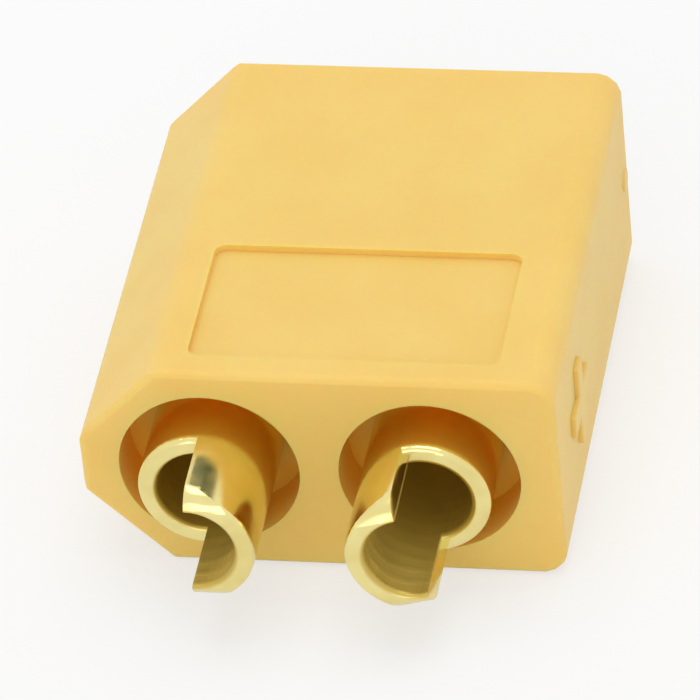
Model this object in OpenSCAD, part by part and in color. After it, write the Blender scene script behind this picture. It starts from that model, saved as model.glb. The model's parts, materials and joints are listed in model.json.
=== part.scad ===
// Two-pole battery lead plug: a keyed nylon housing that carries two
// gold-plated split pins, each turned in one piece with its solder cup.
//
// Frame: +Y points out of the mating end, the solder cups face -Y, +Z is up.
// The origin is the centre of the housing's bottom face. Millimetres.

/* [Housing] */
// Width of the housing, across both contacts
housing_w = 16; // [15:0.1:18]
// Height of the housing
housing_h = 8; // [7.6:0.1:9.5]
// Length of the housing, from the solder end to the mating rim
housing_l = 17.2; // [16:0.1:22]
// Width of the two long chamfers that key the plug
key_w = 2.75; // [2:0.05:3.2]
// Height of the two long chamfers that key the plug
key_h = 2.85; // [2:0.05:3.2]
// Rounding of the long edges on the flat side
corner_r = 0.9; // [0.5:0.05:1.3]
// Rounding of the long edges beside the chamfers
key_r = 0.3; // [0.3:0.05:0.8]
// Rounding of the edges around both ends
end_r = 0.25; // [0.1:0.05:0.25]

/* [Shroud] */
// Depth of the mating cavity
cavity_depth = 9.3; // [8:0.1:10.5]
// Wall of the shroud at the top, the bottom and the flat side
shroud_wall = 1; // [0.7:0.05:1.2]
// Wall of the shroud along the chamfers and the keyed side
key_wall = 0.8; // [0.6:0.05:1]

/* [Solder end] */
// Diameter of the round recess around each solder cup
recess_d = 6.05; // [5.6:0.05:6.6]
// Depth of the round recesses
recess_depth = 3.6; // [2.5:0.1:4]

/* [Label panels] */
// Length of the sunk panel on the top and on the bottom
panel_l = 5.9; // [3:0.1:8]
// Distance of the panels from the solder end
panel_inset = 1; // [0.6:0.1:2]
// Margin between a panel and the long edges of its face
panel_margin = 1; // [0.6:0.1:2]
// Depth of the panels
panel_depth = 0.25; // [0.1:0.05:0.3]
// Corner rounding of the panels
panel_r = 0.4; // [0.2:0.05:0.8]

/* [Split pins] */
// Distance between the two contact axes
contact_pitch = 7.35; // [7.2:0.05:7.6]
// Diameter of the split pins
pin_d = 3.5; // [3:0.1:3.6]
// Bore between the four tines of a pin
pin_bore_d = 1.75; // [1.2:0.05:2]
// Distance of the pin tips behind the mating rim
pin_setback = 0.5; // [0.2:0.1:1.5]
// Width of the two crossed slots that part the tines
slot_w = 0.45; // [0.3:0.05:0.6]
// Depth of the slots, from the pin tip
slot_depth = 6.5; // [4:0.1:7]
// Rounding of the pin tips
tip_r = 0.6; // [0.3:0.05:0.8]

/* [Solder cups] */
// Outer diameter of the solder cups and of the shank behind them
cup_od = 4.4; // [4:0.05:5]
// Bore of the solder cups
cup_id = 3.1; // [2.6:0.05:3.4]
// Depth of the bore, from the cup's closed rim
cup_depth = 4.4; // [3:0.1:4.6]
// Reach of the closed rim beyond the housing
rim_reach = 1.2; // [0.6:0.1:2]
// Reach of the half-round tongue beyond the housing
tongue_reach = 4.2; // [2.5:0.1:6]
// Rounding of the tongue's two end corners
tongue_r = 0.6; // [0.3:0.05:0.9]
// Rounding of the cup's rim
lip_r = 0.2; // [0.1:0.05:0.3]

/* [Seating of the contacts] */
// Diameter of the barb that holds the shank in the housing
barb_d = 5; // [4.6:0.05:5.6]
// Length of the barb
barb_l = 1; // [0.6:0.1:1.4]
// Distance from the recess floor to the barb's rear face
barb_inset = 0.9; // [0.6:0.1:1.2]
// Length of the shank inside the housing, up to its shoulder
shank_l = 2.7; // [2.4:0.1:3.4]
// Diameter of the pin's root, from the shoulder to the cavity floor
root_d = 3.9; // [3.7:0.05:4.3]
// Gap all round between a contact and its seat
seat_gap = 0.02; // [0.01:0.01:0.04]

/* [Hidden] */
$fn = 64;
eps = 0.01;

rear_y = -housing_l / 2;
mating_y = housing_l / 2;
axis_z = housing_h / 2;
cavity_floor_y = mating_y - cavity_depth;
recess_floor_y = rear_y + recess_depth;
shoulder_y = recess_floor_y + shank_l;
pin_tip_y = mating_y - pin_setback;

// Turn of each contact about its own axis, as it was pressed in: the open
// side of its cup faces away from the other contact, and the slots stand at
// an angle of their own.
positive_cup_turn = 16;
negative_cup_turn = 180;
positive_slot_turn = 45;
negative_slot_turn = 40;

// Cross-section of the housing, seen from the mating end's back: x across,
// y up, counter-clockwise, with the rounding of each corner beside it.
outline = [
    [housing_w / 2, 0],
    [housing_w / 2, housing_h],
    [-housing_w / 2 + key_w, housing_h],
    [-housing_w / 2, housing_h - key_h],
    [-housing_w / 2, key_h],
    [-housing_w / 2 + key_w, 0]
];
outline_r = [corner_r, corner_r, key_r, key_r, key_r, key_r];
// Wall behind the side that leaves each corner of the outline
outline_wall = [shroud_wall, shroud_wall, key_wall, key_wall, key_wall, shroud_wall];
cavity_r = 0.15;
// Cylindrical share of the barb's length, behind its slope
barb_land = 0.25;
// Distance of a soft edge's centre from its two faces, in edge radii
edge_centre = 1.3;

function unit(v) = v / norm(v);
function before(list, i) = list[(i + len(list) - 1) % len(list)];
function after(list, i) = list[(i + 1) % len(list)];

// Directions from corner i to the corners beside it
function to_before(pts, i) = unit(before(pts, i) - pts[i]);
function to_after(pts, i) = unit(after(pts, i) - pts[i]);
function half_angle(pts, i) = acos(to_before(pts, i) * to_after(pts, i)) / 2;
// Inward normal of the side that leaves corner i
function inward(pts, i) = let (d = to_after(pts, i)) [-d.y, d.x];

// The two points where the rounding of corner i meets its sides
function tangent_points(pts, radii, i) =
    let (run = radii[i] / tan(half_angle(pts, i)))
    [pts[i] + run * to_before(pts, i), pts[i] + run * to_after(pts, i)];
function round_centre(pts, radii, i) =
    pts[i] + radii[i] / sin(half_angle(pts, i)) * unit(to_before(pts, i) + to_after(pts, i));

// Corner i after each side has moved inwards by its own wall
function inset_corner(pts, walls, i) =
    let (n1 = inward(pts, (i + len(pts) - 1) % len(pts)), n2 = inward(pts, i),
         w1 = before(walls, i), w2 = walls[i])
    pts[i] + [w1 * n2.y - w2 * n1.y, w2 * n1.x - w1 * n2.x] / (n1.x * n2.y - n1.y * n2.x);
function inset(pts, walls) = [for (i = [0:len(pts) - 1]) inset_corner(pts, walls, i)];

module rounded_polygon(pts, radii) {
    polygon([for (i = [0:len(pts) - 1]) each tangent_points(pts, radii, i)]);
    for (i = [0:len(pts) - 1])
        translate(round_centre(pts, radii, i)) circle(r = radii[i]);
}

// A cross-section drawn in x and z, carried from y0 to y1
module along_y(y0, y1) {
    translate([0, y1, 0]) rotate([90, 0, 0]) linear_extrude(y1 - y0) children();
}

// A profile drawn in radius and length, turned about a contact's axis
module turned() {
    rotate([-90, 0, 0]) rotate_extrude() children();
}

// Places a contact's own frame: y runs along the contact as in the housing
module on_axis(side) {
    translate([side * contact_pitch / 2, 0, axis_z]) children();
}

// What a soft edge of radius r takes off a square one: the edge is at the
// origin, and the solid lies towards -x and -y. The outer sides of the waste
// lie outside the solid, and its arc meets both faces at a slight angle.
module edge_waste(r) {
    centre = edge_centre * r;
    difference() {
        translate([-r, -r]) square(2 * r);
        translate([-centre, -centre]) circle(r = norm([centre, centre - r]));
    }
}

// Outward normals of the outline's sides, and three across each wide corner
side_normals = [for (i = [0:len(outline) - 1]) -inward(outline, i)];
corner_normals = [for (i = [0, 1], part = [1, 2, 3])
    unit(part * side_normals[i] + (4 - part) * before(side_normals, i))];

// How far the rounded outline reaches in the direction n
function reach(n) =
    max([for (i = [0:len(outline) - 1]) round_centre(outline, outline_r, i) * n + outline_r[i]]);

// Rounds the edges around the end face at y = end_y, with straight runs along
// the sides of the outline and across its wide corners
module end_waste(end_y) {
    for (n = concat(side_normals, corner_normals))
        translate([n.x * reach(n), end_y, n.y * reach(n)]) rotate([0, atan2(-n.y, n.x), 0])
            linear_extrude(2 * housing_w, center = true) edge_waste(end_r);
}

// The sunk panel of one broad face, drawn in x and y
module label_panel() {
    x0 = -housing_w / 2 + key_w + panel_margin;
    x1 = housing_w / 2 - corner_r - panel_margin;
    y0 = rear_y + panel_inset;
    y1 = y0 + panel_l;
    rounded_polygon([[x0, y0], [x1, y0], [x1, y1], [x0, y1]], [panel_r, panel_r, panel_r, panel_r]);
}

// Half profile of the stretch of a contact that sits in the housing, from
// the recess floor to the cavity floor, grown by gap all round
module seat_profile(gap) {
    barb_y = recess_floor_y + barb_inset;
    // shank, and the pin's root in front of its shoulder
    translate([0, recess_floor_y]) square([cup_od / 2 + gap, shoulder_y + gap - recess_floor_y]);
    translate([0, recess_floor_y]) square([root_d / 2 + gap, cavity_floor_y - recess_floor_y]);
    // barb: square behind, sloping away in front
    polygon([
        [0, barb_y - gap],
        [barb_d / 2 + gap, barb_y - gap],
        [barb_d / 2 + gap, barb_y + barb_land * barb_l],
        [cup_od / 2 + gap, barb_y + barb_l + gap],
        [0, barb_y + barb_l + gap]
    ]);
}

module housing() {
    color("sandybrown") difference() {
        along_y(rear_y, mating_y) rounded_polygon(outline, outline_r);
        end_waste(mating_y);
        mirror([0, 1, 0]) end_waste(-rear_y);

        // Mating cavity
        along_y(cavity_floor_y, mating_y + eps)
            rounded_polygon(inset(outline, outline_wall), [for (r = outline_r) cavity_r]);

        // Round recess, and the seat of a contact, on each axis
        for (side = [-1, 1]) on_axis(side) turned() {
            translate([0, rear_y - eps]) square([recess_d / 2, recess_depth + eps]);
            seat_profile(seat_gap);
            translate([0, recess_floor_y - eps]) square([cup_od / 2 + seat_gap, 2 * eps]);
            translate([0, cavity_floor_y - eps]) square([root_d / 2 + seat_gap, 2 * eps]);
        }

        // Label panels on the top and on the bottom
        translate([0, 0, housing_h - panel_depth]) linear_extrude(panel_depth + eps) label_panel();
        translate([0, 0, -eps]) linear_extrude(panel_depth + eps) label_panel();
    }
}

// Half profile of a bored cylinder from y0 to y1 with a rounded rim at y0
module rim_profile(y0, y1, r_in, r_out, r) {
    translate([r_in, y0 + r]) square([r_out - r_in, y1 - y0 - r]);
    translate([r_in + r, y0]) square([r_out - r_in - 2 * r, r]);
    for (x = [r_in + r, r_out - r])
        translate([x, y0 + r]) circle(r = r);
}

// Solder cup: a closed rim, and a half-round tongue left on the side that
// faces -x, with rounded end corners
module solder_cup() {
    rim_y = rear_y - rim_reach;
    tongue_y = rear_y - tongue_reach;
    floor_y = rim_y + cup_depth;
    turned() rim_profile(rim_y, floor_y, cup_id / 2, cup_od / 2, lip_r);
    intersection() {
        turned() rim_profile(tongue_y, rim_y + 2 * lip_r, cup_id / 2, cup_od / 2, lip_r);
        rotate([0, -90, 0]) linear_extrude(cup_od)
            rounded_polygon([
                [-cup_od / 2, tongue_y],
                [cup_od / 2, tongue_y],
                [cup_od / 2, rim_y + 2 * lip_r],
                [-cup_od / 2, rim_y + 2 * lip_r]
            ], [tongue_r, tongue_r, eps, eps]);
    }
    turned() translate([0, floor_y]) square([cup_od / 2, recess_floor_y - floor_y + eps]);
}

// Split pin: bored, with a rounded tip, and parted into four tines
module split_pin(slot_turn) {
    difference() {
        turned() {
            translate([0, cavity_floor_y - eps])
                square([pin_d / 2, pin_tip_y - tip_r - cavity_floor_y + eps]);
            translate([0, pin_tip_y - 2 * tip_r]) square([pin_d / 2 - tip_r, 2 * tip_r]);
            translate([pin_d / 2 - tip_r, pin_tip_y - tip_r]) circle(r = tip_r);
        }
        turned() translate([0, pin_tip_y - slot_depth])
            square([pin_bore_d / 2, slot_depth + eps]);
        for (turn = [0, 90]) rotate([0, slot_turn + turn, 0])
            translate([-slot_w / 2, pin_tip_y - slot_depth, -pin_d])
                cube([slot_w, slot_depth + eps, 2 * pin_d]);
    }
}

module contact(cup_turn, slot_turn) {
    color("gold") {
        rotate([0, cup_turn, 0]) solder_cup();
        turned() seat_profile(0);
        split_pin(slot_turn);
    }
}

module positive_contact() {
    on_axis(1) contact(-positive_cup_turn, positive_slot_turn);
}

module negative_contact() {
    on_axis(-1) contact(negative_cup_turn, negative_slot_turn);
}

housing();
positive_contact();
negative_contact();
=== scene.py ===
"""Looks of a keyed two-pole battery lead plug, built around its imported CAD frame."""

import json
import math

import bmesh
import bpy
from mathutils import Matrix, Quaternion, Vector

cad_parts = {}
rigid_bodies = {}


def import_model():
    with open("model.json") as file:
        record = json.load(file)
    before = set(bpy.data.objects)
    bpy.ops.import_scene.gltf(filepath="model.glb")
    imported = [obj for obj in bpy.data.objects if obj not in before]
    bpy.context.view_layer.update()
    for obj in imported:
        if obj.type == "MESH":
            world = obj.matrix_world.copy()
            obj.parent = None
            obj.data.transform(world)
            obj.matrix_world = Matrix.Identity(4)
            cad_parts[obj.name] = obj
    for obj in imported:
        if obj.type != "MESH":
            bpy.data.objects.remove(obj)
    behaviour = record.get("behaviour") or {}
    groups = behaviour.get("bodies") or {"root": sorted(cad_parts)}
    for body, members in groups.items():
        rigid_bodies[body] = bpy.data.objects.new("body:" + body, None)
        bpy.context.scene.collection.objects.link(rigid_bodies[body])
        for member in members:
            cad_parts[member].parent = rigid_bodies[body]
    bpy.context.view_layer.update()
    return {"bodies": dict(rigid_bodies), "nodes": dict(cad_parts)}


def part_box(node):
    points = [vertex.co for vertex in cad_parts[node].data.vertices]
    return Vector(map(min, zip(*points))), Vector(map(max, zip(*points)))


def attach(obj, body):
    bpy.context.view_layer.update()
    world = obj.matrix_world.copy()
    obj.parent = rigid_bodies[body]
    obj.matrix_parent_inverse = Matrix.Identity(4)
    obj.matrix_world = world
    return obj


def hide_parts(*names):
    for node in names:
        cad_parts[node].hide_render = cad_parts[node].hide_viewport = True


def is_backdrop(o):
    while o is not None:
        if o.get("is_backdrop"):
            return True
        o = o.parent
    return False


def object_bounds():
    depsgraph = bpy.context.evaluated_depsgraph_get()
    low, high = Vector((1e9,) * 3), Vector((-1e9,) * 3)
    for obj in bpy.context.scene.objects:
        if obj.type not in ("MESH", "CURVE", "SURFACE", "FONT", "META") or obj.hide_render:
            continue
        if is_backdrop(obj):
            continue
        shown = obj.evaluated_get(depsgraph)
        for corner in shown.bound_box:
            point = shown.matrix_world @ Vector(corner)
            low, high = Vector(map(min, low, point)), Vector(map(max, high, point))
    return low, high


bl_info = {
    "name": "Battery Lead Plug",
    "version": (1, 0, 0),
    "blender": (4, 5, 0),
    "location": "3D View > Sidebar > Lead Plug",
    "description": "Dresses the plug's housing and contacts, and builds its stage",
    "category": "Object",
}

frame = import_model()

MM = 0.001
SINK = 0.05 * MM  # how far added details reach into the wall that carries them
CONTACTS = ("positive_contact", "negative_contact")
HOUSING_LOW, HOUSING_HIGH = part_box("housing")
REAR_Y, MATING_Y = HOUSING_LOW.y, HOUSING_HIGH.y
CONTACT_LOW, CONTACT_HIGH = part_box(CONTACTS[0])
AXIS_X = (CONTACT_LOW.x + CONTACT_HIGH.x) / 2
AXIS_Z = (HOUSING_LOW.z + HOUSING_HIGH.z) / 2
TONGUE_Y = CONTACT_LOW.y
KEY_W, KEY_H = 2.75 * MM, 2.85 * MM  # what the key cuts off the housing's width and height
RECESS_R = 3.025 * MM
CUP_R = 2.2 * MM
CUP_TURNS = {"positive_contact": math.radians(-16), "negative_contact": math.radians(180)}

# how meshes are made from the frame's nodes
MERGE_GAP = 0.003 * MM  # vertices nearer to each other than this become one
PLANE_GAP = 0.00001 * MM  # a vertex nearer to a cutting plane than this lies on it
FLAT_ANGLE = math.radians(0.5)  # faces that meet at less than this become one
SOFT_ANGLE = math.radians(28)  # edges sharper than this are rounded
CREASE_ANGLE = math.radians(40)  # edges still sharper than this keep a crease in their shading
FACING = 0.999  # the least part of its normal that a face has along the axis that it faces
ARC_FLATS = 10  # flats that make up one rounded corner
CUT_PITCH, CUT_COUNT = 0.15 * MM, 22  # cuts across each contact, from the tongue's end on

# where the painted shade of the recesses and bores starts and ends: radii about a contact's axis,
# and places along it
RECESS_EDGE = (3.02 * MM, 3.10 * MM)
RECESS_FADE = (REAR_Y - 0.1 * MM, REAR_Y + 1.6 * MM)
RECESS_END = (REAR_Y + 2.2 * MM, REAR_Y + 2.6 * MM)
BORE_EDGE = (1.58 * MM, 1.72 * MM)
BORE_FADE = (TONGUE_Y + 1.0 * MM, TONGUE_Y + 4.2 * MM)
BORE_END = (REAR_Y + 3.3 * MM, REAR_Y + 3.6 * MM)
RING_RATE = 11000.0  # radians of the turning rings' wave in a metre
RING_WOBBLE = 0.4 * MM  # how far noise shifts the rings

# added details
SIGN_Y, SIGN_EDGE = REAR_Y + 4.3 * MM, 0.06 * MM
RIB_MARGIN, RIB_EDGE = 0.12 * MM, 0.035 * MM
RIB_SHARE = 0.45  # a rib's width as a share of the pitch
NUB_Y, NUB_H = MATING_Y - 0.9 * MM, 0.12 * MM
NUB_BASE_R, NUB_TOP_R = 0.45 * MM, 0.38 * MM

# stage
FLOOR_HALF = 2.0
FLOOR_DROP = 0.02 * MM  # keeps the floor clear of the housing's bottom face
FLOOR_GLOW = 0.6  # share of the floor's look that is its own white
WORLD_LIGHT = 0.78  # strength at which the world lights the plug
LAMPS = (  # name, place, side and power of each
    ("top_softbox", (0.0, 0.10, 0.70), 0.5, 1.2),
    ("front_softbox", (-0.1, -0.62, 0.25), 0.4, 0.5),
)
CARD_PLACE = (0.16, 1.25, 0.94)
CARD_HALVES = (0.45, 0.2, 1)  # half its width, half its height, and its flat side as it is


# Settings


class PLUG_PG_housing(bpy.types.PropertyGroup):
    """Colours and sizes of the housing and its moulded details"""

    nylon_colour: bpy.props.FloatVectorProperty(
        name="Nylon colour",
        description="Colour of the moulded housing",
        subtype="COLOR",
        size=3,
        min=0.0,
        max=1.0,
        default=(0.88, 0.62, 0.165),
    )
    # painted shade: the deeper orange laid into the colour of the recesses round the cups
    recess_shade_colour: bpy.props.FloatVectorProperty(
        name="Deep colour",
        description="Colour of the nylon where light only reaches it through the walls",
        subtype="COLOR",
        size=3,
        min=0.0,
        max=1.0,
        default=(0.95, 0.50, 0.045),
    )
    edge_softness: bpy.props.FloatProperty(
        name="Edge softness",
        description="Width of the rounding along the moulded edges",
        default=0.0001,
        min=0.00002,
        max=0.0002,
        unit="LENGTH",
    )
    key_edge: bpy.props.FloatProperty(
        name="Key edge",
        description="Radius of the long edges on the side of the housing that keys it",
        default=0.0012,
        min=0.0003,
        max=0.0015,
        unit="LENGTH",
    )
    recess_depth: bpy.props.FloatProperty(
        name="Recess depth",
        description="Depth of the round recesses that the solder cups stand in",
        default=0.002,
        min=0.0015,
        max=0.004,
        unit="LENGTH",
    )
    mark_height: bpy.props.FloatProperty(
        name="Mark height",
        description="How far the polarity signs stand out of the side walls",
        default=0.00017,
        min=0.00005,
        max=0.0003,
        unit="LENGTH",
    )
    mark_size: bpy.props.FloatProperty(
        name="Mark size",
        description="Length of the bars of the polarity signs",
        default=0.0031,
        min=0.001,
        max=0.004,
        unit="LENGTH",
    )
    mark_width: bpy.props.FloatProperty(
        name="Mark width",
        description="Width of the bars of the polarity signs",
        default=0.0008,
        min=0.0004,
        max=0.0012,
        unit="LENGTH",
    )
    rib_height: bpy.props.FloatProperty(
        name="Rib height",
        description="How far the fine ribs stand out of the lower panel's floor",
        default=0.00009,
        min=0.00004,
        max=0.0002,
        unit="LENGTH",
    )
    rib_pitch: bpy.props.FloatProperty(
        name="Rib pitch",
        description="Distance between the fine ribs of the lower panel",
        default=0.0004,
        min=0.0003,
        max=0.0008,
        unit="LENGTH",
    )


class PLUG_PG_contacts(bpy.types.PropertyGroup):
    """Colour and edges of the two contacts"""

    gold_colour: bpy.props.FloatVectorProperty(
        name="Gold colour",
        description="Colour of the thin gold plating",
        subtype="COLOR",
        size=3,
        min=0.0,
        max=1.0,
        default=(0.85, 0.745, 0.32),
    )
    edge_softness: bpy.props.FloatProperty(
        name="Edge softness",
        description="Width of the rounding along the turned and sawn edges",
        default=0.00009,
        min=0.00002,
        max=0.0002,
        unit="LENGTH",
    )
    tongue_corner: bpy.props.FloatProperty(
        name="Tongue corner",
        description="Radius of the two end corners of each solder cup's tongue",
        default=0.0009,
        min=0.0006,
        max=0.0014,
        unit="LENGTH",
    )


class PLUG_PG_stage(bpy.types.PropertyGroup):
    """Where the camera stands and how it looks"""

    azimuth: bpy.props.FloatProperty(
        name="Azimuth",
        description="Direction of the camera round the plug",
        default=math.radians(12.68),
        subtype="ANGLE",
    )
    elevation: bpy.props.FloatProperty(
        name="Elevation",
        description="Height of the camera above the horizon",
        default=math.radians(38.24),
        subtype="ANGLE",
    )
    roll: bpy.props.FloatProperty(
        name="Roll",
        description="Tilt of the camera about its own axis",
        default=math.radians(-5.93),
        subtype="ANGLE",
    )
    distance: bpy.props.FloatProperty(
        name="Distance",
        description="Distance of the camera from the middle of the plug",
        default=0.2525,
        unit="LENGTH",
    )
    focal_length: bpy.props.FloatProperty(
        name="Focal length",
        description="Focal length of the camera's lens, in millimetres",
        default=388.0,
        min=50.0,
    )


# Mesh helpers


def cad_shape(node):
    """A bmesh copy of a CAD node, merged, with its flat faces whole again."""
    bm = bmesh.new()
    bm.from_mesh(frame["nodes"][node].data)
    bmesh.ops.remove_doubles(bm, verts=bm.verts, dist=MERGE_GAP)
    bmesh.ops.dissolve_limit(bm, angle_limit=FLAT_ANGLE, verts=bm.verts, edges=bm.edges)
    return bm


def cut(bm, point, normal, trim=False):
    """Cuts bm by a plane, trims what lies beyond it if trim is set, and returns the cut's edges."""
    made = bmesh.ops.bisect_plane(
        bm,
        geom=bm.verts[:] + bm.edges[:] + bm.faces[:],
        dist=PLANE_GAP,
        plane_co=point,
        plane_no=normal,
        clear_outer=trim,
    )
    return [e for e in made["geom_cut"] if isinstance(e, bmesh.types.BMEdge)]


def round_off(bm, centre, radius, normals):
    """Trims an edge of bm down to an arc about centre, by one flat for each normal."""
    for normal in normals:
        rim = cut(bm, centre + normal * radius, normal, trim=True)
        bmesh.ops.edgeloop_fill(bm, edges=[e for e in rim if e.is_boundary])
    bmesh.ops.recalc_face_normals(bm, faces=bm.faces)


def cut_across(bm, places):
    """Cuts the faces of bm at each y given, so that long faces shade evenly."""
    for y in places:
        cut(bm, (0, y, 0), (0, 1, 0))


def fan(first, last, flats):
    """Unit vectors spread evenly between the directions first and last."""
    turn = first.rotation_difference(last)
    return [
        Quaternion().slerp(turn, (i + 0.5) / flats) @ first
        for i in range(flats)
    ]


def round_key_edges(bm, radius):
    """Rounds the housing's long edges on the side that keys it."""
    for corner, first, last in outline_corners():
        inward = -(first + last).normalized()
        centre = corner + inward * radius / math.cos(first.angle(last) / 2)
        round_off(bm, centre, radius, fan(first, last, ARC_FLATS))


def round_tongue(bm, side, turn, radius):
    """Rounds the end corners of the tongue of the contact on the side of x given."""
    across = Matrix.Rotation(turn, 3, "Y") @ Vector((0, 0, 1))
    end = Vector((0, -1, 0))
    for way in (across, -across):
        centre = Vector((side * AXIS_X, TONGUE_Y + radius, AXIS_Z)) + way * (CUP_R - radius)
        round_off(bm, centre, radius, fan(end, way, ARC_FLATS))


def set_recess_floors(bm, depth):
    """Brings the floors of the recesses round the cups to depth inside the rear face."""
    least_depth, same_level = 1 * MM, 0.01 * MM
    hole_r, grip = CUP_R + 0.1 * MM, 0.01 * MM
    floors = []
    for face in bm.faces:
        place = face.calc_center_median()
        off_axis = math.hypot(abs(place.x) - AXIS_X, place.z - AXIS_Z)
        inside = place.y > REAR_Y + least_depth and off_axis < RECESS_R
        if inside and face.normal.y < -FACING:
            floors.append((place.y, face))
    level = min(y for y, _ in floors)
    for vert in {v for y, face in floors if y < level + same_level for v in face.verts}:
        vert.co.y = REAR_Y + depth
        axis = Vector((math.copysign(AXIS_X, vert.co.x), vert.co.y, AXIS_Z))
        if (vert.co - axis).length < hole_r:
            # the hole grips the shank
            vert.co = axis + (vert.co - axis).normalized() * (CUP_R - grip)


def outline_corners():
    """The key side's corners in x and z, each with the normals of the sides that meet there."""
    left, top = HOUSING_LOW.x, HOUSING_HIGH.z
    slope = Vector((-KEY_H, 0, KEY_W)).normalized()
    up, out = Vector((0, 0, 1)), Vector((-1, 0, 0))
    upper = (
        (Vector((left + KEY_W, 0, top)), up, slope),
        (Vector((left, 0, top - KEY_H)), slope, out),
    )
    # the lower corners mirror the upper ones
    flip = Matrix.Diagonal((1, 1, -1))
    shift = Vector((0, 0, HOUSING_LOW.z + HOUSING_HIGH.z))
    lower = tuple((flip @ place + shift, flip @ last, flip @ first) for place, first, last in upper)
    return upper + lower


def soften_edges(bm, width, segments=3):
    """Rounds every edge of bm that is sharper than SOFT_ANGLE."""
    sharp = [e for e in bm.edges if e.is_manifold and e.calc_face_angle(0.0) > SOFT_ANGLE]
    bmesh.ops.bevel(
        bm,
        geom=sharp,
        offset=width,
        offset_type="OFFSET",
        segments=segments,
        profile=0.5,
        affect="EDGES",
        clamp_overlap=True,
        material=-1,
    )


def raised_sign(size, width, thickness, arms):
    """A bmesh of a raised bar along x, or of a cross with four arms, on the xy plane."""
    half = width / 2
    bm = bmesh.new()
    bmesh.ops.create_grid(bm, x_segments=3, y_segments=3, size=size / 2)
    for vert in bm.verts:
        for axis in (0, 1):
            if abs(vert.co[axis]) < size / 4:
                vert.co[axis] = math.copysign(half, vert.co[axis])
    spare = []
    for face in bm.faces:
        x, y, _ = face.calc_center_median()
        if abs(y) > half and (arms == 2 or abs(x) > half):
            spare.append(face)
    bmesh.ops.delete(bm, geom=spare, context="FACES")
    bmesh.ops.dissolve_limit(bm, angle_limit=FLAT_ANGLE, verts=bm.verts, edges=bm.edges)
    bmesh.ops.solidify(bm, geom=bm.faces[:], thickness=thickness)
    bmesh.ops.recalc_face_normals(bm, faces=bm.faces)
    return bm


def lay_on_wall(bm, place, outward, along):
    """Turns bm so that its z points outward and its x along, and moves it to place."""
    turn = Matrix((along, outward.cross(along), outward)).transposed().to_4x4()
    low = min(v.co.z for v in bm.verts)
    sink = Matrix.Translation((0, 0, -low - SINK))
    bmesh.ops.transform(bm, matrix=Matrix.Translation(place) @ turn @ sink, verts=bm.verts)


def lower_panel():
    """Lowest and highest corner of the floor of the panel in the housing's underside."""
    shallow, deep = 0.05 * MM, 1 * MM
    bm = bmesh.new()
    bm.from_mesh(frame["nodes"]["housing"].data)
    corners = [
        vert.co.copy()
        for face in bm.faces
        if face.normal.z < -FACING and shallow < face.calc_center_median().z < deep
        for vert in face.verts
    ]
    bm.free()
    low = Vector([min(c[i] for c in corners) for i in range(3)])
    return low, Vector([max(c[i] for c in corners) for i in range(3)])


def mesh_from(bm, name, material):
    """A mesh in one material, made from bm, which is freed."""
    mesh = bpy.data.meshes.new(name)
    bm.to_mesh(mesh)
    bm.free()
    mesh.materials.append(material)
    return mesh


def put_in_scene(name, data):
    """An object that holds data, linked to the scene."""
    thing = bpy.data.objects.new(name, data)
    bpy.context.scene.collection.objects.link(thing)
    return thing


def add_piece(bm, name, material, flatness=100):
    """Makes bm an object that rides on the plug and takes its finish from material.

    flatness says how far a large face keeps its own normal beside its soft edges.
    """
    mesh = mesh_from(bm, name, material)
    for face in mesh.polygons:
        face.use_smooth = True
    mesh.set_sharp_from_angle(angle=CREASE_ANGLE)
    piece = put_in_scene(name, mesh)
    flat = piece.modifiers.new("flat_faces", "WEIGHTED_NORMAL")
    flat.keep_sharp = True
    flat.weight = flatness
    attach(piece, "root")
    return piece


# Node helpers


class Nodes:
    """Adds nodes to one tree, each fed by values or by other nodes' sockets."""

    def __init__(self, tree):
        self.tree = tree

    def add(self, kind, settings=None, out=0, **inputs):
        node = self.tree.nodes.new(kind)
        for key, value in (settings or {}).items():
            setattr(node, key, value)
        for key, value in inputs.items():
            index = int(key[1:]) if key[1:].isdigit() else key.replace("_", " ")
            self.feed(node.inputs[index], value)
        return node.outputs[out]

    def feed(self, socket, value):
        if isinstance(value, bpy.types.NodeSocket):
            self.tree.links.new(value, socket)
        else:
            socket.default_value = value

    def math(self, operation, a, b=0.0):
        return self.add("ShaderNodeMath", {"operation": operation}, i0=a, i1=b)

    def times(self, product, *others):
        for other in others:
            product = self.math("MULTIPLY", product, other)
        return product

    def ramp(self, value, low, high, to_low=0.0, to_high=1.0, smooth=True):
        """to_low below low, to_high above high, and a slope between them."""
        kind = "SMOOTHSTEP" if smooth else "LINEAR"
        return self.add(
            "ShaderNodeMapRange",
            {"interpolation_type": kind},
            Value=value, i1=low, i2=high, i3=to_low, i4=to_high,
        )

    def mix(self, factor, a, b):
        """The colour a where factor is 0 and b where it is 1."""
        # sockets 6, 7 and 2 are a Mix node's colours
        return self.add("ShaderNodeMix", {"data_type": "RGBA"}, out=2, Factor=factor, i6=a, i7=b)

    def bump(self, height, strength, distance):
        return self.add("ShaderNodeBump", Height=height, Strength=strength, Distance=distance)

    def noise(self, place, scale, detail=2.0, roughness=0.5):
        return self.add(
            "ShaderNodeTexNoise", Vector=place, Scale=scale, Detail=detail, Roughness=roughness
        )


def new_group(name, inputs, outputs):
    """An empty node group, its Nodes helper, and its input and output nodes."""
    group = bpy.data.node_groups.new(name, "ShaderNodeTree")
    for label, kind, value in inputs:
        socket = group.interface.new_socket(label, in_out="INPUT", socket_type=kind)
        if value is not None:
            socket.default_value = value
    for label, kind in outputs:
        group.interface.new_socket(label, in_out="OUTPUT", socket_type=kind)
    start = group.nodes.new("NodeGroupInput")
    end = group.nodes.new("NodeGroupOutput")
    return group, Nodes(group), start.outputs, end.inputs


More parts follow.
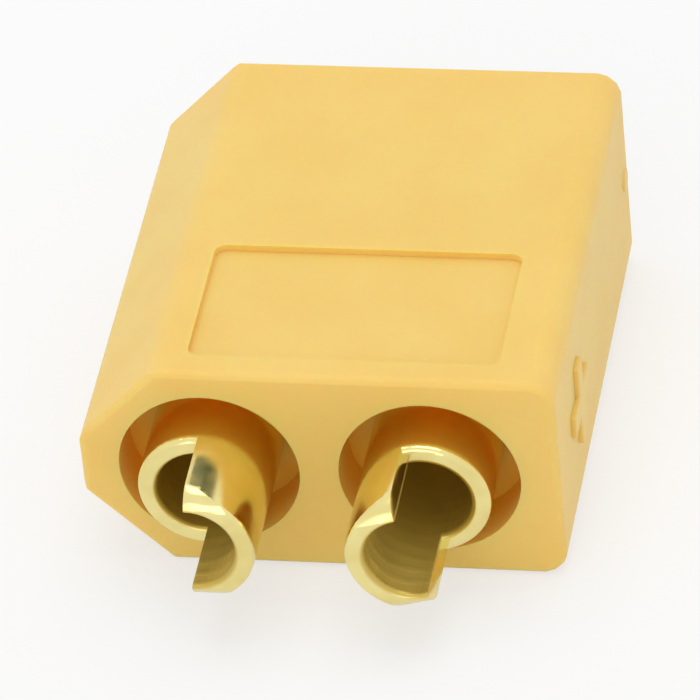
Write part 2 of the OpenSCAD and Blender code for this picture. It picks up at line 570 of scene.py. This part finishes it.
def grain_group(name):
    """Fine grain and slow cloudiness of a moulded or plated surface."""
    group, nodes, given, result = new_group(
        name,
        (
            ("Place", "NodeSocketVector", None),
            ("Grain Size", "NodeSocketFloat", 0.0001),
            ("Cloud Size", "NodeSocketFloat", 0.003),
        ),
        (("Grain", "NodeSocketFloat"), ("Cloud", "NodeSocketFloat")),
    )
    fine = nodes.math("DIVIDE", 1.0, given["Grain Size"])
    slow = nodes.math("DIVIDE", 1.0, given["Cloud Size"])
    nodes.feed(result["Grain"], nodes.noise(given["Place"], fine, 3.0, 0.6))
    cloud = nodes.noise(given["Place"], slow, 2.0, 0.45)
    nodes.feed(result["Cloud"], nodes.ramp(cloud, 0.3, 0.7))
    return group


def axis_group(name):
    """Radius about the nearer contact's axis, and place along it."""
    group, nodes, given, result = new_group(
        name,
        (("Place", "NodeSocketVector", None),),
        (("Radius", "NodeSocketFloat"), ("Along", "NodeSocketFloat")),
    )
    parts = nodes.tree.nodes.new("ShaderNodeSeparateXYZ")
    nodes.feed(parts.inputs[0], given["Place"])
    x = nodes.math("SUBTRACT", nodes.math("ABSOLUTE", parts.outputs[0]), AXIS_X)
    z = nodes.math("SUBTRACT", parts.outputs[2], AXIS_Z)
    square = nodes.math("ADD", nodes.times(x, x), nodes.times(z, z))
    nodes.feed(result["Radius"], nodes.math("SQRT", square))
    nodes.feed(result["Along"], parts.outputs[1])
    return group


def place_group(nodes, name, maker, **inputs):
    """The outputs of the named group, which maker builds the first time, placed in a material."""
    node = nodes.tree.nodes.new("ShaderNodeGroup")
    node.node_tree = bpy.data.node_groups.get(name) or maker(name)
    for key, value in inputs.items():
        nodes.feed(node.inputs[key.replace("_", " ")], value)
    return node.outputs


def surface_fields(nodes, grain_size, cloud_size):
    """The place on a piece, its grain, and its place about the nearer contact's axis."""
    place = nodes.add("ShaderNodeTexCoord", out="Object")
    grain = place_group(
        nodes, "surface_grain", grain_group,
        Place=place, Grain_Size=grain_size, Cloud_Size=cloud_size,
    )
    return place, grain, place_group(nodes, "contact_axis", axis_group, Place=place)


def shaded(colour, shares=(1, 1, 1)):
    """A solid colour, each channel of which keeps its share."""
    return (*(c * k for c, k in zip(colour, shares)), 1)


def new_material(name):
    """A material, the helper that adds nodes to it, and its shader."""
    material = bpy.data.materials.new(name)
    material.use_nodes = True
    shader = material.node_tree.nodes["Principled BSDF"]
    return material, Nodes(material.node_tree), shader


# Materials


def nylon_material(settings, name, glow):
    """Satin amber nylon: cloudy, finely grained, and with painted shade, a deeper orange, in the
    recesses round the cups.
    """
    material, nodes, shader = new_material(name)
    _, grain, axis = surface_fields(nodes, 0.12 * MM, 3.5 * MM)

    amber = shaded(settings.nylon_colour)
    warm = shaded(settings.nylon_colour, (0.985, 0.955, 0.88))
    colour = nodes.mix(grain["Cloud"], amber, warm)
    # painted shade: the open recesses round the cups turn a deeper orange towards their floors
    inside = nodes.ramp(axis["Radius"], *RECESS_EDGE, 1.0, 0.0)
    depth = nodes.ramp(axis["Along"], *RECESS_FADE)
    rear = nodes.ramp(axis["Along"], *RECESS_END, 1.0, 0.0)
    deep = nodes.times(inside, depth, rear)
    colour = nodes.mix(deep, colour, shaded(settings.recess_shade_colour))
    nodes.feed(shader.inputs["Base Color"], colour)
    nodes.feed(shader.inputs["Roughness"], nodes.ramp(grain["Grain"], 0.3, 0.7, 0.40, 0.52))
    nodes.feed(shader.inputs["Normal"], nodes.bump(grain["Grain"], 0.25, 0.012 * MM))
    shader.inputs["Subsurface Weight"].default_value = glow
    shader.inputs["Subsurface Radius"].default_value = (1.0, 0.28, 0.05)
    shader.inputs["Subsurface Scale"].default_value = 1.2 * MM
    shader.inputs["IOR"].default_value = 1.5
    return material


def gold_material(settings):
    """Pale gold plating over turned brass, with faint turning rings, and painted shade down the
    bores.
    """
    material, nodes, shader = new_material("flash_gold")
    place, grain, axis = surface_fields(nodes, 0.06 * MM, 1.2 * MM)

    gold = shaded(settings.gold_colour)
    dull = shaded(settings.gold_colour, (0.93, 0.88, 0.78))
    colour = nodes.mix(grain["Cloud"], gold, dull)
    # painted shade: the drilled bores are rougher, and painted a less metallic brown that grows
    # stronger further in
    bore = nodes.ramp(axis["Radius"], *BORE_EDGE, 1.0, 0.0)
    depth = nodes.ramp(axis["Along"], *BORE_FADE, 0.85, 1.0)
    behind = nodes.ramp(axis["Along"], *BORE_END, 1.0, 0.0)
    bore_shade = nodes.times(bore, depth, behind)
    colour = nodes.mix(bore_shade, colour, (0.55, 0.38, 0.05, 1))
    nodes.feed(shader.inputs["Base Color"], colour)
    nodes.feed(shader.inputs["Metallic"], nodes.ramp(bore_shade, 0.3, 1.0, 1.0, 0.45))
    rough = nodes.ramp(grain["Cloud"], 0.0, 1.0, 0.13, 0.22)
    nodes.feed(shader.inputs["Roughness"], nodes.math("ADD", rough, nodes.times(bore_shade, 0.25)))

    # a few uneven turning rings inside the tongue and the bore
    wobble = nodes.noise(place, 700.0)
    turns = nodes.math("ADD", axis["Along"], nodes.times(wobble, RING_WOBBLE))
    wave = nodes.math("SINE", nodes.times(turns, RING_RATE))
    rings = nodes.times(bore, behind, nodes.ramp(wave, -0.6, 1.0))
    height = nodes.math("ADD", rings, nodes.times(grain["Grain"], 0.12))
    nodes.feed(shader.inputs["Normal"], nodes.bump(height, 0.3, 0.02 * MM))
    return material


# Operators


class PLUG_OT_housing(bpy.types.Operator):
    """Builds the moulded housing with soft edges"""

    bl_idname = "plug.housing"
    bl_label = "Housing"

    def execute(self, context):
        settings = context.scene.plug_housing
        bm = cad_shape("housing")
        set_recess_floors(bm, settings.recess_depth)
        round_key_edges(bm, settings.key_edge)
        soften_edges(bm, settings.edge_softness)
        material = nylon_material(settings, "amber_nylon", 0.6)
        piece = add_piece(bm, "nylon_housing", material)
        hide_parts("housing")
        return {"FINISHED"}


class PLUG_OT_signs(bpy.types.Operator):
    """Builds the raised polarity signs on the two side walls"""

    bl_idname = "plug.signs"
    bl_label = "Polarity Signs"

    def execute(self, context):
        settings = context.scene.plug_housing
        thickness = settings.mark_height + SINK
        material = nylon_material(settings, "amber_nylon_trim", 0.0)
        for name, side, arms in (("plus_sign", 1, 4), ("minus_sign", -1, 2)):
            bm = raised_sign(settings.mark_size, settings.mark_width, thickness, arms)
            soften_edges(bm, SIGN_EDGE)
            wall = HOUSING_HIGH.x if side > 0 else HOUSING_LOW.x
            lay_on_wall(bm, (wall, SIGN_Y, AXIS_Z), Vector((side, 0, 0)), Vector((0, 1, 0)))
            add_piece(bm, name, material)
        return {"FINISHED"}


class PLUG_OT_moulding(bpy.types.Operator):
    """Builds the fine ribs of the lower panel and the nub that the mould's gate left"""

    bl_idname = "plug.moulding"
    bl_label = "Moulding Details"

    def execute(self, context):
        material = bpy.data.materials["amber_nylon_trim"]
        add_piece(panel_ribs(context.scene.plug_housing), "panel_ribs", material)
        add_piece(gate_nub(), "gate_nub", material)
        return {"FINISHED"}


def panel_ribs(settings):
    """A bmesh of the fine ribs, side by side on the lower panel's floor."""
    low, high = lower_panel()
    first, last = low.y + RIB_MARGIN, high.y - RIB_MARGIN
    count = int((last - first) / settings.rib_pitch)
    pitch = (last - first) / count
    size = (
        high.x - low.x - 2 * RIB_MARGIN,
        settings.rib_pitch * RIB_SHARE,
        settings.rib_height + SINK,
    )
    bm = bmesh.new()
    bmesh.ops.create_cube(bm, size=1)
    bmesh.ops.scale(bm, vec=size, verts=bm.verts)
    soften_edges(bm, RIB_EDGE, segments=2)
    place = ((low.x + high.x) / 2, first + pitch / 2, low.z)
    lay_on_wall(bm, place, Vector((0, 0, -1)), Vector((1, 0, 0)))
    rib = bm.verts[:] + bm.edges[:] + bm.faces[:]
    for i in range(1, count):
        copy = bmesh.ops.duplicate(bm, geom=rib)["geom"]
        verts = [v for v in copy if isinstance(v, bmesh.types.BMVert)]
        bmesh.ops.translate(bm, vec=(0, i * pitch, 0), verts=verts)
    return bm


def gate_nub():
    """A bmesh of the low round nub on the positive side wall."""
    bm = bmesh.new()
    bmesh.ops.create_cone(
        bm, cap_ends=True, segments=24, radius1=NUB_BASE_R, radius2=NUB_TOP_R, depth=NUB_H
    )
    lay_on_wall(bm, (HOUSING_HIGH.x, NUB_Y, AXIS_Z), Vector((1, 0, 0)), Vector((0, 1, 0)))
    return bm


class PLUG_OT_contacts(bpy.types.Operator):
    """Builds the two gold-plated contacts with soft edges"""

    bl_idname = "plug.contacts"
    bl_label = "Contacts"

    def execute(self, context):
        settings = context.scene.plug_contacts
        material = gold_material(settings)
        for node, side in zip(CONTACTS, (1, -1)):
            bm = cad_shape(node)
            round_tongue(bm, side, CUP_TURNS[node], settings.tongue_corner)
            cut_across(bm, [TONGUE_Y + CUT_PITCH * i for i in range(1, CUT_COUNT + 1)])
            soften_edges(bm, settings.edge_softness)
            piece = add_piece(bm, "gold_" + node, material, flatness=50)
            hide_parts(node)
        return {"FINISHED"}


class PLUG_OT_stage(bpy.types.Operator):
    """Builds the floor, the lamps, the dark card and the camera"""

    bl_idname = "plug.stage"
    bl_label = "Stage"

    def execute(self, context):
        build_floor()
        build_lamps()
        build_dark_card()
        build_camera(context.scene.plug_stage)
        return {"FINISHED"}


def seen_directly(nodes):
    """One for rays from the camera, a mirror or glass, and zero for the rest."""
    path = nodes.tree.nodes.new("ShaderNodeLightPath").outputs
    seen = nodes.math("MAXIMUM", path["Is Camera Ray"], path["Is Glossy Ray"])
    return nodes.math("MAXIMUM", seen, path["Is Transmission Ray"])


def build_floor():
    """A pale floor that the plug lies on."""
    bm = bmesh.new()
    bmesh.ops.create_grid(bm, x_segments=1, y_segments=1, size=FLOOR_HALF)
    bmesh.ops.translate(bm, vec=(0, 0, HOUSING_LOW.z - FLOOR_DROP), verts=bm.verts)
    material, nodes, shader = new_material("white_sweep")
    shader.inputs["Base Color"].default_value = (0.9, 0.9, 0.9, 1)
    shader.inputs["Roughness"].default_value = 0.9
    shader.inputs["Specular IOR Level"].default_value = 0.0
    # the floor shows as near white, and the plug's shadow stays on it
    glow = nodes.add("ShaderNodeEmission", Color=(1, 1, 1, 1), Strength=1.0)
    share = nodes.times(seen_directly(nodes), FLOOR_GLOW)
    mixed = nodes.add("ShaderNodeMixShader", Fac=share, i1=shader.outputs[0], i2=glow)
    nodes.feed(nodes.tree.nodes["Material Output"].inputs["Surface"], mixed)
    put_in_scene("floor", mesh_from(bm, "floor", material))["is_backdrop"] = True


def add_lamp(name, place, size, power):
    """A square lamp at place that shines at the plug."""
    light = bpy.data.lights.new(name, "AREA")
    light.size = size
    light.energy = power
    lamp = put_in_scene(name, light)
    lamp.location = place
    lamp.rotation_euler = (-Vector(place)).to_track_quat("-Z", "Y").to_euler()


def build_lamps():
    """The softboxes, and a world that lights from all round and shows as white."""
    for lamp in LAMPS:
        add_lamp(*lamp)
    world = bpy.data.worlds.new("studio")
    world.use_nodes = True
    nodes = Nodes(world.node_tree)
    backdrop = world.node_tree.nodes["Background"]
    backdrop.inputs["Color"].default_value = (1, 1, 1, 1)
    strength = nodes.ramp(seen_directly(nodes), 0.0, 1.0, WORLD_LIGHT, 1.0, smooth=False)
    nodes.feed(backdrop.inputs["Strength"], strength)
    bpy.context.scene.world = world


def build_dark_card():
    """A dark card far behind the plug, which shows only in what mirrors it."""
    place = Vector(CARD_PLACE)
    bm = bmesh.new()
    bmesh.ops.create_grid(bm, x_segments=1, y_segments=1, size=1)
    bmesh.ops.scale(bm, vec=CARD_HALVES, verts=bm.verts)
    turn = place.to_track_quat("Z", "Y").to_matrix().to_4x4()
    bmesh.ops.transform(bm, matrix=Matrix.Translation(place) @ turn, verts=bm.verts)
    material, _, shader = new_material("dark_card")
    shader.inputs["Base Color"].default_value = (0.06, 0.09, 0.06, 1)
    shader.inputs["Roughness"].default_value = 1.0
    card = put_in_scene("dark_card", mesh_from(bm, "dark_card", material))
    card.visible_camera = False
    card.visible_diffuse = False
    card.visible_shadow = False
    card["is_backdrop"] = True


def build_camera(settings):
    """A long lens, aimed at the middle of the plug."""
    camera = bpy.data.cameras.new("camera")
    camera.lens = settings.focal_length
    camera.clip_start = 0.01
    camera.clip_end = 10
    azimuth, elevation, roll = settings.azimuth, settings.elevation, settings.roll
    right = Vector((math.cos(azimuth), math.sin(azimuth), 0.0))
    level = math.cos(elevation)
    back = Vector((math.sin(azimuth) * level, -math.cos(azimuth) * level, math.sin(elevation)))
    up = back.cross(right)
    across = math.cos(roll) * right + math.sin(roll) * up
    above = math.cos(roll) * up - math.sin(roll) * right
    low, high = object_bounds()
    turn = Matrix((across, above, back)).transposed().to_4x4()
    eye = put_in_scene("camera", camera)
    eye.matrix_world = Matrix.Translation((low + high) / 2 + back * settings.distance) @ turn
    bpy.context.scene.camera = eye


class PLUG_PT_panel(bpy.types.Panel):
    """Lists the operators in the order in which they run"""

    bl_label = "Lead Plug"
    bl_idname = "PLUG_PT_panel"
    bl_space_type = "VIEW_3D"
    bl_region_type = "UI"
    bl_category = "Lead Plug"

    def draw(self, context):
        for operator in OPERATORS:
            self.layout.operator(operator.bl_idname)


OPERATORS = (
    PLUG_OT_housing,
    PLUG_OT_signs,
    PLUG_OT_moulding,
    PLUG_OT_contacts,
    PLUG_OT_stage,
)
CLASSES = (PLUG_PG_housing, PLUG_PG_contacts, PLUG_PG_stage, *OPERATORS, PLUG_PT_panel)


def register():
    for cls in CLASSES:
        bpy.utils.register_class(cls)
    bpy.types.Scene.plug_housing = bpy.props.PointerProperty(type=PLUG_PG_housing)
    bpy.types.Scene.plug_contacts = bpy.props.PointerProperty(type=PLUG_PG_contacts)
    bpy.types.Scene.plug_stage = bpy.props.PointerProperty(type=PLUG_PG_stage)


def unregister():
    del bpy.types.Scene.plug_stage
    del bpy.types.Scene.plug_contacts
    del bpy.types.Scene.plug_housing
    for cls in reversed(CLASSES):
        bpy.utils.unregister_class(cls)


def clear_default_scene():
    """Removes every object that the frame didn't bring."""
    kept = {*frame["nodes"].values(), *frame["bodies"].values()}
    for thing in [o for o in bpy.data.objects if o not in kept]:
        bpy.data.objects.remove(thing)


def main():
    """Builds every piece and the stage."""
    register()
    clear_default_scene()
    bpy.context.scene.view_settings.view_transform = "Standard"
    for operator in OPERATORS:
        getattr(bpy.ops.plug, operator.bl_idname.split(".")[1])()


if __name__ == "__main__":
    main()
